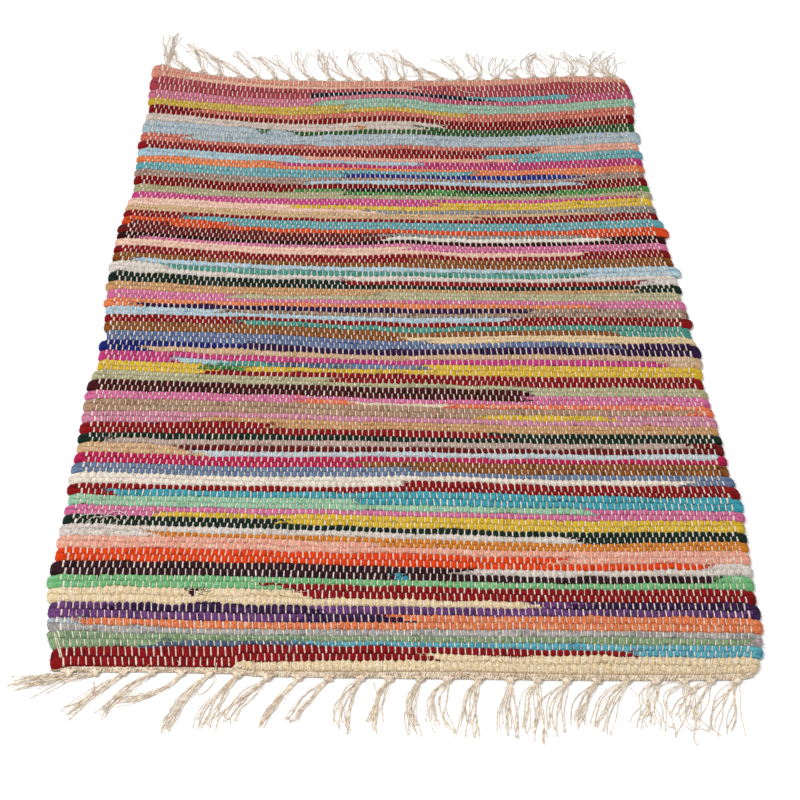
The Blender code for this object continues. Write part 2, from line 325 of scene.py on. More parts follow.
# The cloths the rags were torn from: colour, second colour, how much of the second shows,
# how fluffy the rag is, from 0 flat to 1 thick and soft.
CLOTHS = {
    "pale_yellow": ("#EED6AC", "#F6E4C4", 0.30, 0.55),
    "dark_red": ("#8E1014", "#6C080C", 0.35, 0.10),
    "dark_red_full": ("#8E1014", "#6C080C", 0.35, 0.10),
    "dark_red_thin": ("#8E1014", "#6C080C", 0.35, 0.10),
    "dark_red_far": ("#7E0406", "#600206", 0.30, 0.10),
    "teal": ("#5FAFC0", "#3F8FA6", 0.35, 0.30),
    "steel": ("#5C7088", "#3E5068", 0.50, 0.30),
    "teal_mid": ("#40A3B3", "#2B8796", 0.35, 0.15),
    "teal_far": ("#62A8B0", "#468C98", 0.30, 0.30),
    "sage": ("#8BA67C", "#6C8A64", 0.35, 0.65),
    "sage_far": ("#B3AD84", "#938E68", 0.35, 0.55),
    "dusky": ("#C0ABAC", "#A08890", 0.40, 0.50),
    "pale_grey_cord": ("#B4B2AE", "#949290", 0.45, 0.35),
    "grey_blue": ("#A9B7BE", "#C4CDD2", 0.40, 0.60),
    "salmon_orange": ("#E47C4C", "#EFA070", 0.35, 0.40),
    "violet": ("#74437E", "#52305E", 0.50, 0.25),
    "dark_violet": ("#2C1238", "#4A2C5C", 0.40, 0.20),
    "spring_green": ("#72B87A", "#90CC98", 0.30, 0.45),
    "plum": ("#351820", "#1F0C14", 0.40, 0.10),
    "pale_grey": ("#E2D8CE", "#C6BCB4", 0.35, 0.75),
    "orange": ("#E8430F", "#C43206", 0.25, 0.15),
    "peach": ("#EDA48B", "#F4BCA6", 0.35, 0.65),
    "amber": ("#DB8428", "#B7681A", 0.35, 0.35),
    "dark_green": ("#172E22", "#0C1C14", 0.40, 0.10),
    "mustard": ("#E0BA32", "#C09C20", 0.30, 0.25),
    "mustard_far": ("#CCAA34", "#AA8A24", 0.30, 0.25),
    "pink": ("#D8709E", "#BE5486", 0.30, 0.25),
    "mint": ("#97C8A6", "#7AB18C", 0.30, 0.40),
    "mint_far": ("#92BCA2", "#7AA48E", 0.30, 0.45),
    "cream": ("#F2E8D8", "#DCD0C0", 0.30, 0.70),
    "cream_white": ("#EEE9DF", "#D9D2C6", 0.30, 0.60),
    "slate_blue": ("#6E82A0", "#52688C", 0.35, 0.20),
    "brown": ("#905422", "#6A3A14", 0.35, 0.20),
    "raspberry": ("#BE1E52", "#9C1442", 0.30, 0.15),
    "pale_blue": ("#C5D3D8", "#A9BDC6", 0.35, 0.55),
    "tan": ("#D8B284", "#BE966A", 0.35, 0.50),
    "maroon": ("#6B1216", "#490A0E", 0.35, 0.15),
    "taupe_grey": ("#BEA59A", "#A08A80", 0.35, 0.55),
    "camel": ("#CD9B66", "#B4824E", 0.35, 0.45),
    "dusty_pink": ("#D0869E", "#B86E88", 0.35, 0.35),
    "taupe": ("#B28E72", "#967458", 0.35, 0.55),
    "taupe_print": ("#A98E78", "#6E5648", 0.40, 0.45),
    "taupe_far": ("#A5887A", "#8A6E62", 0.35, 0.50),
    "salmon_print": ("#E27C52", "#F0C8A8", 0.35, 0.40),
    "oxblood": ("#4A1214", "#2C080A", 0.40, 0.15),
    "khaki": ("#B9B58D", "#9C9870", 0.35, 0.60),
    "magenta": ("#C73A7D", "#A42A64", 0.30, 0.20),
    "magenta_pink": ("#D0478A", "#B03472", 0.30, 0.20),
    "magenta_far": ("#BE3473", "#9C285C", 0.30, 0.20),
    "beige": ("#D3B08B", "#BC966E", 0.35, 0.65),
    "beige_far": ("#D8C8BD", "#BBA89C", 0.35, 0.75),
    "navy": ("#1B2375", "#10164E", 0.40, 0.15),
    "royal": ("#24308C", "#141C5E", 0.45, 0.15),
    "dark_purple": ("#331243", "#1C0826", 0.40, 0.15),
    "denim": ("#6478A0", "#4A5E86", 0.40, 0.25),
    "cream_yellow": ("#EBCF9E", "#D8B678", 0.30, 0.60),
    "sea_green": ("#4F9C8E", "#37806F", 0.40, 0.25),
    "pale_sky": ("#B8D2DE", "#98BACA", 0.40, 0.40),
    "light_blue": ("#A8C8D4", "#88AEBC", 0.35, 0.40),
    "coral": ("#E8824F", "#D0683A", 0.30, 0.30),
    "coral_far": ("#CE6A58", "#B45446", 0.30, 0.30),
    "pale_peach": ("#F4CAB4", "#E2B29C", 0.30, 0.50),
    "dark_maroon": ("#35060C", "#1E0206", 0.35, 0.10),
    "brick": ("#6E1616", "#4C0C0E", 0.35, 0.20),
    "grey": ("#93938F", "#73736F", 0.40, 0.50),
    "orange_red": ("#DD4A18", "#B83A10", 0.30, 0.20),
    "kelly": ("#4C9A48", "#2C6A30", 0.50, 0.20),
    "orange_far": ("#EC8049", "#D56C38", 0.30, 0.30),
    "fleece_blue": ("#B0C1C8", "#94A9B4", 0.40, 0.80),
    "pale_salmon": ("#E8A78F", "#D48E76", 0.35, 0.50),
    "green_far": ("#2A5A2C", "#1A3C1C", 0.35, 0.10),
    "wine": ("#A83C46", "#8A2A34", 0.30, 0.15),
    "rose": ("#CC7088", "#B45C78", 0.35, 0.35),
    "raspberry_pink": ("#BE4A70", "#9E365A", 0.35, 0.20),
    "ink": ("#141E34", "#0A1018", 0.40, 0.10),
    "thin_peach": ("#EEB8A0", "#DCA28A", 0.35, 0.50),
    "thin_cream": ("#E6D0B4", "#D2B698", 0.30, 0.40),
    "salmon_far": ("#DE9680", "#C87E68", 0.35, 0.60),
}

# Cloths with a print or a melange: the colour of its flecks and how much they cover.
FLECKS = {
    "sage": ("#3E5C44", 0.30), "salmon_orange": ("#B84A26", 0.45), "pale_grey_cord": ("#5C5A5C", 0.25),
    "camel": ("#C0602C", 0.15), "taupe": ("#5E3E2C", 0.30), "taupe_print": ("#4E3024", 0.35),
    "violet": ("#3A1E50", 0.30), "salmon_print": ("#D8502A", 0.80), "dusky": ("#7A6A74", 0.25),
    "tan": ("#8C5A34", 0.15), "grey": ("#4C4A48", 0.25),
    "steel": ("#2E3A50", 0.40), "coral_far": ("#8C2A20", 0.30), "salmon_far": ("#A84A3C", 0.30),
    "denim": ("#2E3E66", 0.25), "fleece_blue": ("#586C7C", 0.35), "sage_far": ("#6E6A48", 0.25),
    "grey_blue": ("#6A7078", 0.25), "khaki": ("#8A8460", 0.15), "teal": ("#2E7C90", 0.25),
    "pale_yellow": ("#B08C58", 0.15), "mint_far": ("#4E7A62", 0.25), "brown": ("#4E2A10", 0.25),
    "pale_sky": ("#7CA0B0", 0.20), "orange_far": ("#9C3E1E", 0.25), "slate_blue": ("#3E4C6A", 0.25),
}
# Rags plainly thicker or thinner than a usual one: the room each takes along the rug, against 1.
BULK = {
    "wine": 1.3, "royal": 1.3, "brown": 1.1, "brick": 1.2, "dark_purple": 1.25, "teal_mid": 1.25,
    "fleece_blue": 1.4, "orange": 1.15, "plum": 1.15, "oxblood": 1.15, "taupe": 1.15, "peach": 1.1,
    "orange_red": 1.25, "teal_far": 1.1, "sea_green": 1.15, "pale_sky": 1.1, "salmon_far": 1.3,
    "thin_peach": 0.6, "salmon_print": 0.95, "thin_cream": 0.55, "dark_red_far": 1.15,
    "dark_red_full": 1.45, "dark_red_thin": 0.6, "cream_yellow": 0.65, "rose": 0.75,
    "magenta_pink": 0.75, "amber": 0.75, "camel": 0.7, "kelly": 0.7, "orange_far": 0.8,
    "beige_far": 0.85, "taupe_far": 0.85, "tan": 0.85, "pink": 0.85, "dark_green": 0.85, "khaki": 0.85,
}
# Washed, worn cotton: how much of a dye's brightness is left.
BRIGHTNESS_LEFT = 0.80
WARP_COLOUR = "#E8DCD0"
NEAR_FRINGE_COLOUR = "#EBDDC8"
FAR_FRINGE_COLOUR = "#D8C9B8"
COTTON_SHADE = (0.68, 0.60, 0.54)   # red, green and blue left where the cotton is dull

# How each heading, near (-1) and far (1), is twined: where its pairs of cords lie across it, from
# its outer edge; a cord's radius, the height it starts at and its rise to the cloth, millimetres;
# how many threads cross it; how many hairs stand out of it.
TWINING = {
    -1: ((0.14, 0.50, 0.86), 0.6, 0.85, 2.6, 387, 320),
    1: ((0.45,), 0.7, 1.6, 1.2, 0, 60),
}
CORD_LAY = 4.4              # length of a cord's turn round its pair, millimetres
LOOSE_ENDS = {-1: (10, 0.36), 1: (8, 0.34)}   # how many a tassel has, and their radius
KNOT_HALVES = (3.7, 2.9, 2.3)   # half the size of a knot's lump, millimetres
HAIR = 0.22                 # radius of a loose fibre, millimetres

NEAR_TASSELS = (
    # knot x, lean, reach in millimetres; fan of the strands, bend along them, curl, in radians
    (-284, -48, 12, 0.25, 0.2, 0.7), (-262, -52, 13, 0.25, 0.3, 0.7), (-239, -42, 40, 0.14, 0.1, 0.15),
    (-215, -38, 41, 0.12, 0.5, 0.25), (-191, -50, 27, 0.10, -1.0, 0.3), (-168, -33, 55, 0.12, 0.4, 0.2),
    (-144, -26, 52, 0.30, 0.5, 0.3), (-119, -37, 46, 0.20, 0.2, 0.5), (-93, -30, 45, 0.10, 0.2, 0.2),
    (-68, -30, 43, 0.12, 0.3, 0.3), (-41, -13, 50, 0.30, 1.0, 0.4), (-17, -14, 48, 0.16, 0.4, 0.3),
    (9, -5, 52, 0.14, 0.9, 0.3), (32, -7, 51, 0.44, 1.0, 0.6), (58, -9, 53, 0.36, 0.5, 0.3),
    (85, -6, 52, 0.34, 0.1, 0.2), (108, -10, 58, 0.50, 0.3, 0.5), (133, -19, 57, 0.46, 0.6, 0.3),
    (159, -21, 44, 0.18, 0.6, 0.3), (184, -26, 46, 0.34, 0.7, 0.2), (209, -10, 50, 0.50, 0.6, 1.8),
    (233, -10, 60, 0.60, 0.6, 1.9), (256, -28, 40, 0.55, 0.6, 0.9), (278, -20, 55, 0.75, 0.4, 0.5),
)
FAR_TASSELS = (
    (-281, 1, 77, 0.10, 0.1, 0.4), (-256, -24, 44, 0.30, 0.4, 0.8), (-235, -24, 71, 0.16, -0.4, 0.5),
    (-213, -36, 64, 0.16, -0.5, 0.5), (-188, -41, 45, 0.22, -0.4, 0.6), (-167, -31, 61, 0.22, -0.3, 0.6),
    (-145, -30, 53, 0.22, -0.5, 0.6), (-123, -34, 52, 0.22, -0.3, 0.6), (-99, -15, 71, 0.26, 0.7, 0.6),
    (-75, -15, 68, 0.22, 0.5, 0.7), (-53, -28, 63, 0.26, 0.6, 0.7), (-31, -21, 73, 0.22, 0.8, 0.7),
    (-7, -20, 62, 0.26, -0.5, 0.6), (14, -19, 67, 0.26, -0.6, 0.8), (37, -30, 50, 0.22, -0.9, 0.8),
    (62, -28, 25, 0.22, -0.6, 0.8), (87, -24, 50, 0.30, -0.8, 0.8), (110, -13, 61, 0.40, -0.6, 0.6),
    (133, 10, 53, 0.60, 0.5, 0.5), (159, -1, 30, 0.60, 1.4, 1.4), (180, 6, 62, 0.35, 0.9, 1.2),
    (204, -9, 56, 0.60, -0.8, 1.3), (230, -11, 55, 0.50, -0.9, 1.0), (254, -18, 49, 0.50, -0.8, 0.9),
    (275, -3, 62, 0.40, 0.9, 1.0), (283, 7, 46, 0.50, 1.2, 1.2),
)

# Loose threads that lie on the floor or over the cloth, millimetres.
STRAYS = {
    -1: (((-161, -452, 7), (-162, -462, 5), (-163, -470, 1), (-168, -479, 0.6), (-174, -483, 0.6),
          (-178, -478, 0.8), (-177, -470, 1.5)),
         ((-283, -467, 1), (-296, -477, 0.6), (-312, -489, 0.6)),
         ((-262, -472, 1), (-262, -484, 0.6), (-271, -492, 0.6), (-284, -497, 0.6)),
         ((-30, -470, 1), (-27, -485, 0.6), (-29, -505, 0.6), (-28, -520, 0.6)),
         ((-300, -427, 7.2), (-297, -437, 7.5), (-293, -448, 7.3), (-289, -460, 4.5)),
         ((-298.5, -429, 7.2), (-295, -438, 7.5), (-291, -449, 7.3), (-287.5, -460, 4.5)),
         ((186, -472, 1), (195, -484, 0.6), (200, -497, 0.6), (199, -508, 0.6))),
    1: (((-283, 464, 1.5), (-282, 484, 0.8), (-279, 506, 0.8), (-280, 530, 0.8)),
        ((-281, 464, 1.8), (-280, 482, 1.2), (-276, 504, 1.2), (-273, 536, 0.8)),
        ((-280, 464, 1.5), (-278, 486, 0.8), (-274, 508, 0.8), (-268, 528, 0.8)),
        ((-282, 464, 1.2), (-283, 480, 1.6), (-286, 498, 1.2), (-294, 515, 0.8)),
        ((-266, 458, 2), (-262, 446, 6.5), (-258, 432, 7.2), (-255, 420, 7.4), (-252, 414, 7.4)),
        ((58, 446, 3), (66, 440, 7), (74, 431, 7.5), (79, 420, 7.5), (86, 412, 7.5), (96, 408, 7.4),
         (108, 408, 7.3)),
        ((10, 446, 2), (26, 452, 1), (48, 449, 2), (66, 443, 5), (80, 436, 7), (90, 441, 5),
         (96, 452, 1.5), (110, 461, 0.8))),
}

# Threads pulled out of a rag, that stand over the cloth.
PULLED = (
    ((-298, -303, 6.5), (-293, -297, 8.6), (-285, -295, 9), (-274, -294, 8.6), (-269, -301, 6.5)),
    ((-290, -306, 6.5), (-284, -299, 8.4), (-276, -298, 8.8), (-266, -296, 8.2), (-258, -301, 6.5)),
    ((-276, -302, 6.5), (-268, -293, 8.6), (-259, -291, 8.8), (-252, -297, 8.2), (-254, -304, 6.5)),
)

# Where the camera stands, in metres, its turns in degrees and its lens in millimetres.
CAMERA_PLACE = (-0.0746, -1.2383, 1.0861)
CAMERA_TURNS = (("Z", -3.81), ("X", 45.63), ("Z", 3.79))
CAMERA_LENS = 70.36


# ------------------------------------------------------------------ curves and maps
def within(value):
    """A value kept between 0 and 1."""
    return np.clip(value, 0.0, 1.0)


def ease(t):
    """0 to 1 with a soft start and a soft end."""
    return t * t * (3 - 2 * t)


def hermite(t, start, end, leave, arrive):
    """Smooth run from start to end, by the slopes it leaves and arrives with, read at t."""
    return ((2 * t ** 3 - 3 * t ** 2 + 1) * start + (t ** 3 - 2 * t ** 2 + t) * leave
            + (3 * t ** 2 - 2 * t ** 3) * end + (t ** 3 - t ** 2) * arrive)


def curve(x, xs, ys):
    """Smooth curve through the points (xs, ys), read at x."""
    slopes = np.gradient(ys, xs)
    cell = np.clip(np.searchsorted(xs, x) - 1, 0, len(xs) - 2)
    span = xs[cell + 1] - xs[cell]
    t = within((x - xs[cell]) / span)
    return hermite(t, ys[cell], ys[cell + 1], span * slopes[cell], span * slopes[cell + 1])


def across_stations(at, x):
    """Value at x of what is given for every point at the five stations."""
    slope = np.gradient(at, axis=0)
    place = np.interp(x, STATIONS, np.arange(len(STATIONS)))
    cell = np.clip(np.floor(place).astype(int), 0, len(STATIONS) - 2)
    n = np.arange(at.shape[1])
    return hermite(place - cell, at[cell, n], at[cell + 1, n], slope[cell, n], slope[cell + 1, n])


def plain_y(v, x):
    """Height along the rug of pick v at x across it, before the rags' bulk, millimetres."""
    keys, *lines = PICK_LINES.T
    y = across_stations(np.array([curve(v, keys, line) for line in lines]), x)
    for pick, middle, rise, picks, reach in SWELLS:
        y = y + rise * np.exp(-((v - pick) / picks) ** 2 - ((x - middle) / reach) ** 2)
    return y


def rag_order(pick, x):
    """How far along the weaving a point is, in picks."""
    run = (x + REACH) / (2 * REACH)
    return pick + np.where(pick % 2 == 1, run, 1.0 - run)


RAG_STOPS = rag_order(*np.array([rag[1:3] for rag in RAGS], float).T)
FLUFF = np.array([CLOTHS[rag[0]][3] for rag in RAGS])


def rag_at(pick, x, r):
    """Which rag covers a point of a pick.  Where one ends it tapers beside the next."""
    order = rag_order(pick, x)
    found = np.zeros(len(order), int)
    for number, (_, _, _, tail) in enumerate(RAGS[:-1]):
        lean = (1 if number % 2 else -1) * tail / (2 * REACH)
        found[order + lean * r > RAG_STOPS[number]] = number + 1
    return found


def bulk_push():
    """How far thick and thin rags push the edge of each pick along the rug, millimetres."""
    x = np.arange(-REACH, REACH + 1, PUSH_STEP)
    pick = np.repeat(np.arange(1.0, PICKS + 1), len(x))
    rag = rag_at(pick, np.tile(x, PICKS), 0.0 * pick)
    bulk = np.array([BULK.get(name, 1.0) for name, *_ in RAGS])[rag].reshape(PICKS, -1)
    side = len(BULK_TELLS) // 2
    padded = np.pad(bulk, ((0, 0), (side, side)), "edge")
    bulk = sum(part * padded[:, k:k + len(x)] for k, part in enumerate(BULK_TELLS))
    total = np.vstack([np.zeros(len(x)), np.cumsum(bulk, 0)])
    edges = np.arange(PICKS + 1) + 0.5
    keys = PICK_LINES[:, 0]
    pitch = np.interp(edges, keys, np.gradient(PICK_LINES[:, 3], keys))
    trend = np.array([np.interp(edges, keys, np.interp(keys, edges, column)) for column in total.T]).T
    return (total - trend) * pitch[:, None]


PUSH = bulk_push()


def pick_y(v, x):
    """Height along the rug of pick v at x across it, millimetres."""
    row = np.clip(v - 0.5, 0, PICKS - 1e-6)
    column = np.clip((x + REACH) / PUSH_STEP, 0, PUSH.shape[1] - 1.001)
    i, j = row.astype(int), column.astype(int)
    a, b = row - i, column - j
    push = ((PUSH[i, j] * (1 - b) + PUSH[i, j + 1] * b) * (1 - a)
            + (PUSH[i + 1, j] * (1 - b) + PUSH[i + 1, j + 1] * b) * a)
    return plain_y(v, x) + push


def cloth_ends(x):
    """Where the cloth meets its two headings at x, millimetres."""
    return np.interp(x, END_LINES[:, 0], END_LINES[:, 2]), np.interp(x, END_LINES[:, 0], END_LINES[:, 3])


# Random tables: a slow run along each pick, a number for each half float, and the warps' own drift.
rng = np.random.default_rng(20)
DRIFT = rng.normal(0.0, 1.0, (PICKS + 4, 40))
BEAD = rng.normal(0.0, 1.0, (PICKS + 4, 2 * FLOATS + 16))
WANDER = rng.normal(0.0, 1.0, (48, 24))


def drift(row, w, table=DRIFT, step=4.0):
    """Slow unevenness along a pick: a smooth random run of its own for each row."""
    place = np.clip((w + 4.0) / step, 0, table.shape[1] - 1.001)
    cell = place.astype(int)
    t = ease(place - cell)
    row = np.clip(row, 0, table.shape[0] - 1).astype(int)
    return table[row, cell] * (1 - t) + table[row, cell + 1] * t


def bead(row, w, offset=4):
    """A random number of its own for each half float of a row."""
    return BEAD[row.astype(int), np.round(w * 2 + offset).astype(int)]


def pick_of(v):
    """Pick that a point belongs to, and how far it lies from the pick's middle."""
    pick = np.clip(np.ceil(v - 0.5 - 1e-6), 1, PICKS)
    return pick, v - pick


def from_float(pick, w):
    """Angle round the weave's wave, from the middle of a float.  Odd picks lie half a float off."""
    return 2 * math.pi * (w - np.where(pick % 2 == 1, 0.5, 0.0))


def swing(pick, w):
    """+1 in the middle of a float of rag, -1 where a warp crosses it."""
    return np.cos(from_float(pick, w))


def loop_share(w):
    """0 in the cloth, 1 at the outside of a selvedge loop, and which side it is on."""
    return np.maximum(within(-w / LOOP), within((w - FLOATS) / LOOP)), np.where(w < FLOATS / 2, -1, 1)


def loop_of(v, side):
    """Which selvedge loop v lies in, and where in it: -1 to 1."""
    start = np.where(side < 0, 0.5, 1.5)
    turn = np.round((v - start) / 2).astype(int)
    return turn, v - start - 2 * turn


LOOP_SHIFT = np.zeros((2, PICKS // 2 + 2))
for loop_side, loop_pick, out in LOOPS_OUT:
    LOOP_SHIFT[(loop_side + 1) // 2, loop_pick // 2] = out


def selvedge_at(v, x, places):
    """A selvedge's distance from the rug's middle line, and the warps' own smoother line there."""
    y = pick_y(v, np.full_like(v, x))
    warps = sum(curve(y + step, *places.T) for step in WARPS_AVERAGED) / len(WARPS_AVERAGED)
    return curve(y, *places.T), warps


def across(w, v):
    """x of a point of the weave, millimetres.  Only the outer warps follow a selvedge's bumps."""
    left, left_warps = selvedge_at(v, STATIONS[0], LEFT_SELVEDGE)
    right, right_warps = selvedge_at(v, STATIONS[-1], RIGHT_SELVEDGE)
    share = (w + LOOP) / (FLOATS + 2 * LOOP)
    place = (share * right_warps - (1 - share) * left_warps
             + (right - right_warps) * within(1 - (1 - share) / OUTER_SHARE) ** 2
             - (left - left_warps) * within(1 - share / OUTER_SHARE) ** 2)
    edge, side = loop_share(w)
    turn, q = loop_of(v, side)
    bulge = (LOOP_BULGE + LOOP_UNEVEN * BEAD[turn, np.where(side < 0, 0, 1)]
             + LOOP_SHIFT[(side + 1) // 2, turn] - LOOP_WAIST * np.abs(q) ** 5)
    return place + side * bulge * edge ** 2


def lay(w, v, widen=True):
    """Place on the rug, x and y in millimetres, of points of the weave."""
    pick, r = pick_of(v)
    loose = 1 - loop_share(w)[0]
    block, part = np.floor(v / 4), v / 4 - np.floor(v / 4)
    wander = WARP_DRIFT * ((1 - part) * drift(block, w, WANDER, 5.0)
                           + part * drift(block + 1, w, WANDER, 5.0))
    shift = 0.0
    if widen:
        square = FLOAT_SQUARE * np.sin(from_float(pick, w)) * (1 - np.abs(2 * r) ** 4)
        wander = wander + square + FLOAT_SHAKE * bead(pick, w, 6)
        ends = within(np.minimum(v - 0.5, PICKS + 0.5 - v))
        line = np.floor(v + 1e-6)
        rim = np.abs(r) > 0.4
        shift = (RIM_WAVE * swing(pick, w) * 4 * r * np.abs(r)
                 + np.where(rim, RIM_DRIFT, PICK_DRIFT) * drift(line, w)
                 + RIM_SHAKE * rim * bead(line, w)) * loose * ends
    x = across(w + wander * loose, v)
    # at the left the first pick is missing, and the next ones spread into its room
    missing = within((MISSING_TO - x) / 10.0)
    y = pick_y(v + shift * (1 - missing * (v < 1.6)), x)
    near, far = cloth_ends(x)
    first, second, final = (pick_y(np.full_like(x, at), x) for at in (0.5, 1.5, PICKS + 0.5))
    y = (y + (near - first) * within((2.5 - v) / 2) ** 2
         + (far - final) * within((v - PICKS + 1.5) / 2) ** 2)
    room = second + (near - first) / 4 - near - END_GAP
    room = np.where(v < 1.5, y - near - END_GAP * (v - 0.5), room * within((5.0 - v) / 3.5) ** 1.4)
    y = y - ease(missing) * room
    # no row runs past the cloth's ends
    least = near + END_GAP * within(v - 0.5) + LEAST_ROW * np.clip(v - 1.5, 0, 2)
    most = far - END_GAP * within(PICKS + 0.5 - v) - LEAST_ROW * np.clip(PICKS - 0.5 - v, 0, 2)
    return x, np.clip(y, least, most)


def top_height(w, v, x, y):
    """Height of the cloth's face, millimetres."""
    pick, r = pick_of(v)
    c = swing(pick, w)
    fluff = FLUFF[rag_at(pick, x, r)]
    # full over a float's middle, about half of that under a warp, and lower towards the creases
    over = 0.95 + (0.29 - 0.05 * fluff) * c - (0.24 - 0.05 * fluff) * c * c
    over = np.where(np.abs(r) > 0.45, 0.86, over)
    along = 1.0 - (0.62 - 0.22 * fluff) * np.abs(2 * r) ** 5
    plump = 1.0 + 0.05 * drift(pick, w) + 0.07 * bead(pick, w)
    cloth = HOLLOW + (CREST + 0.5 * fluff - HOLLOW) * over * along * plump
    edge, side = loop_share(w)
    q = np.abs(loop_of(v, side)[1])
    loop = HOLLOW + (CREST + 0.3 - HOLLOW) * (1 - 0.75 * q ** 3.5) * np.sqrt(within(1 - edge ** 2.6))
    blend = within(edge * 3.0)
    z = cloth * (1 - blend) + loop * blend
    near, far = cloth_ends(x)
    end = within((np.minimum(y - near, far - y) - 0.5) / 2.2)
    return HOLLOW + (z - HOLLOW) * np.sqrt(end)


# ------------------------------------------------------------------ finishes
def linear(hex_colour):
    """A dye's colour, from its sRGB code, as linear light."""
    channels = [int(hex_colour[k:k + 2], 16) / 255 for k in (1, 3, 5)]
    return tuple(c / 12.92 if c <= 0.04045 else ((c + 0.055) / 1.055) ** 2.4 for c in channels) + (1.0,)


def worn(hex_colour):
    """A dye after wear and washing: a little darker."""
    return tuple(BRIGHTNESS_LEFT * c for c in linear(hex_colour)[:3]) + (1.0,)


class Finish:
    """A material under construction.  All calls but feed() add a node and give its output."""

    def __init__(self, name, sheen=0.0):
        self.material = bpy.data.materials.new(name)
        self.material.use_nodes = True
        self.tree = self.material.node_tree
        self.shader = self.tree.nodes["Principled BSDF"]
        self.feed(self.shader, {"Roughness": 0.9, "Specular IOR Level": 0.1, "Sheen Weight": sheen,
                                "Sheen Roughness": 0.6})

    def feed(self, node, inputs):
        """Give a node its inputs: numbers are set, sockets are joined."""
        for key, value in inputs.items():
            if isinstance(value, bpy.types.NodeSocket):
                self.tree.links.new(value, node.inputs[key])
            else:
                node.inputs[key].default_value = value

    def node(self, kind, output, inputs, **settings):
        made = self.tree.nodes.new(kind)
        for key, value in settings.items():
            setattr(made, key, value)
        self.feed(made, inputs)
        return made.outputs[output]

    def mapped(self, coordinates, scale, shift):
        return self.node("ShaderNodeMapping", "Vector",
                         {"Scale": scale, "Location": shift, "Vector": coordinates})

    def noise(self, coordinates, scale=1.0, detail=3.0, rough=0.5):
        return self.node("ShaderNodeTexNoise", "Fac",
                         {"Scale": scale, "Detail": detail, "Roughness": rough, "Vector": coordinates})

    def spread(self, value, low, high, to_low=0.0, to_high=1.0):
        return self.node("ShaderNodeMapRange", "Result", {"From Min": low, "From Max": high, "To Min": to_low,
                                                          "To Max": to_high, "Value": value},
                         interpolation_type="SMOOTHSTEP")

    def mix(self, factor, first, second):
        return self.node("ShaderNodeMix", "Result", {"Factor": factor, "A": first, "B": second},
                         data_type="RGBA", blend_type="MIX")

    def shaded(self, colour, amount):
        """A colour made darker or lighter by a number."""
        return self.node("ShaderNodeVectorMath", "Vector", {"Vector": colour, "Scale": amount},
                         operation="SCALE")

    def relief(self, value, distance, strength, **before):
        return self.node("ShaderNodeBump", "Normal",
                         {"Distance": distance, "Strength": strength, "Height": value, **before})


def rag_finish(name):
    """Torn cotton rag: tone drifts along the strip, folds run with it, flecks of a second dye, and painted
    shade darkens the crease between picks.
    """
    colour, second, share, fluff = CLOTHS[name]
    finish = Finish("rag_" + name, sheen=0.08 * fluff)
    weave = finish.node("ShaderNodeUVMap", "UV", {}, uv_map="weave")
    place = finish.node("ShaderNodeTexCoord", "Object", {})
    # each cloth starts at a place of its own in the noise
    shift = (13.7 * (len(name) + ord(name[0]) % 7), 5.1 * (ord(name[-1]) % 9), 0)
    tone = finish.noise(finish.mapped(weave, (0.55, 1.1, 1), shift), detail=4.0, rough=0.65)
    folds = finish.noise(finish.mapped(weave, (1.1, 6.0, 1), shift), rough=0.6)
    thread = finish.noise(place, scale=700.0, rough=0.75)
    second_dye = finish.spread(tone, 0.62 - 0.35 * share, 0.74 - 0.30 * share)
    dyed = finish.mix(second_dye, worn(colour), worn(second))
    if name in FLECKS:
        fleck, amount = FLECKS[name]
        grain = finish.noise(finish.mapped(weave, (3.5, 5.0, 1), shift), rough=0.7)
        covered = finish.spread(grain, 0.64 - 0.2 * amount, 0.70 - 0.2 * amount)
        dyed = finish.mix(covered, dyed, linear(fleck))
    for value, low, high, dark, light in ((folds, 0.32, 0.68, 0.80, 1.12), (thread, 0.30, 0.70, 0.74, 1.24)):
        dyed = finish.shaded(dyed, finish.spread(value, low, high, dark, light))
    # painted shade: the colour is darkened in the crease between one pick and the next, where shade falls,
    # less on fluffy rags
    row = finish.node("ShaderNodeSeparateXYZ", "Y", {"Vector": weave})
    off = finish.node("ShaderNodeMath", "Value", {0: row, 1: 0.5}, operation="PINGPONG")
    crease_painted_shade = finish.shaded(dyed, finish.spread(off, 0.34, 0.5, 1.0, 0.55 + 0.2 * fluff))
    folded = finish.relief(folds, 0.9 * MM, 0.5)
    threaded = finish.relief(thread, 0.5 * MM, 0.4 + 0.3 * fluff, Normal=folded)
    finish.feed(finish.shader, {"Base Color": crease_painted_shade, "Normal": threaded})
    return finish.material


def cotton_finish(name, colour):
    """Undyed spun cotton: slightly mottled, with fine plied threads."""
    finish = Finish(name, sheen=0.05)
    place = finish.node("ShaderNodeTexCoord", "Object", {})
    mottle = finish.noise(place, scale=260.0)
    thread = finish.noise(place, scale=900.0, detail=2.0, rough=0.7)
    base = linear(colour)
    dark = tuple(left * channel for left, channel in zip(COTTON_SHADE, base)) + (1.0,)
    finish.feed(finish.shader, {"Base Color": finish.mix(finish.spread(mottle, 0.35, 0.62), dark, base),
                                "Normal": finish.relief(thread, 0.3 * MM, 0.6)})
    return finish.material


# ------------------------------------------------------------------ making pieces
def nothing_selected():
    bpy.ops.object.select_all(action="DESELECT")


def chosen(*objects):
    nothing_selected()
    for piece in objects:
        piece.select_set(True)
    bpy.context.view_layer.objects.active = objects[0]


def joined(name, *objects):
    """The objects as one piece of that name, with the first one's mesh leading."""
    chosen(*objects)
    bpy.ops.object.join()
    piece = bpy.context.object
    piece.name = name
    return piece


def read_all(items, what, width=1, kind=float):
    """One property of all the parts of a mesh, as a flat array."""
    values = np.empty(width * len(items), kind)
    items.foreach_get(what, values)
    return values


def points_of(mesh):
    return read_all(mesh.vertices, "co", 3).reshape(-1, 3)


def set_points(mesh, points):
    mesh.vertices.foreach_set("co", np.ascontiguousarray(points, dtype=np.float32).ravel())
    mesh.update()


def rotated(points, angle):
    """Points turned about the upright axis."""
    c, s = math.cos(angle), math.sin(angle)
    x, y, z = points.T
    return np.stack([x * c - y * s, x * s + y * c, z], 1)


